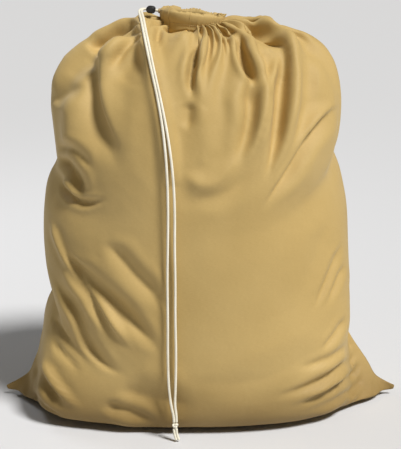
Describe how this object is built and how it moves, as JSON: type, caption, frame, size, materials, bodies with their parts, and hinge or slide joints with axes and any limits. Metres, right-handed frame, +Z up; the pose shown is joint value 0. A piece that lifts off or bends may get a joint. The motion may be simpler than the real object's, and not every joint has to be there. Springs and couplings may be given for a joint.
{
  "type": "drawstring bulk bag",
  "caption": "Large filled cloth sack standing on its flat bottom, its mouth gathered by a drawstring with a spring cord lock and knotted ends.",
  "frame": {"origin": "centre of the flat bottom, on the surface the bag stands on", "axes": "+X to the right and +Z up as seen from the front, where the drawstring hangs; the front faces -Y"},
  "size_m": [0.706, 0.4085, 0.6989],
  "materials": {
    "cloth": "khaki twill with a soft satin sheen",
    "thread": "matching sewing thread",
    "cord": "off-white braided cord",
    "lock": "black moulded plastic, lightly polished",
    "spring": "plain spring steel wire"
  },
  "bodies": {
    "bag": {"front_panel": "cloth", "back_panel": "cloth", "front_casing": "cloth", "back_casing": "cloth", "left_side_seam": "cloth", "right_side_seam": "cloth", "bottom_seam": "cloth", "casing_stitching": "thread", "exit_binding": "thread", "drawstring_loop": "cord", "left_neck_run": "cord", "right_neck_run": "cord", "left_strand": "cord", "right_strand": "cord", "end_knot": "cord", "left_tail": "cord", "right_tail": "cord"},
    "cord_lock": {"lock_barrel": "lock", "lock_spring": "spring"},
    "plunger": {"lock_plunger": "lock"}
  },
  "joints": [
    {"name": "lock_slide", "type": "slide", "parent": "bag", "child": "cord_lock", "axis": [-0.9925, 0, 0.1219], "range_m": [0, 0.04], "deforming": ["left_neck_run", "right_neck_run", "left_strand", "right_strand"]},
    {"name": "plunger_press", "type": "slide", "parent": "cord_lock", "child": "plunger", "axis": [0, 1, 0], "range_m": [0, 0.004], "stiffness_N_per_m": 1500, "springref_m": -0.0027, "deforming": ["lock_spring"]}
  ]
}
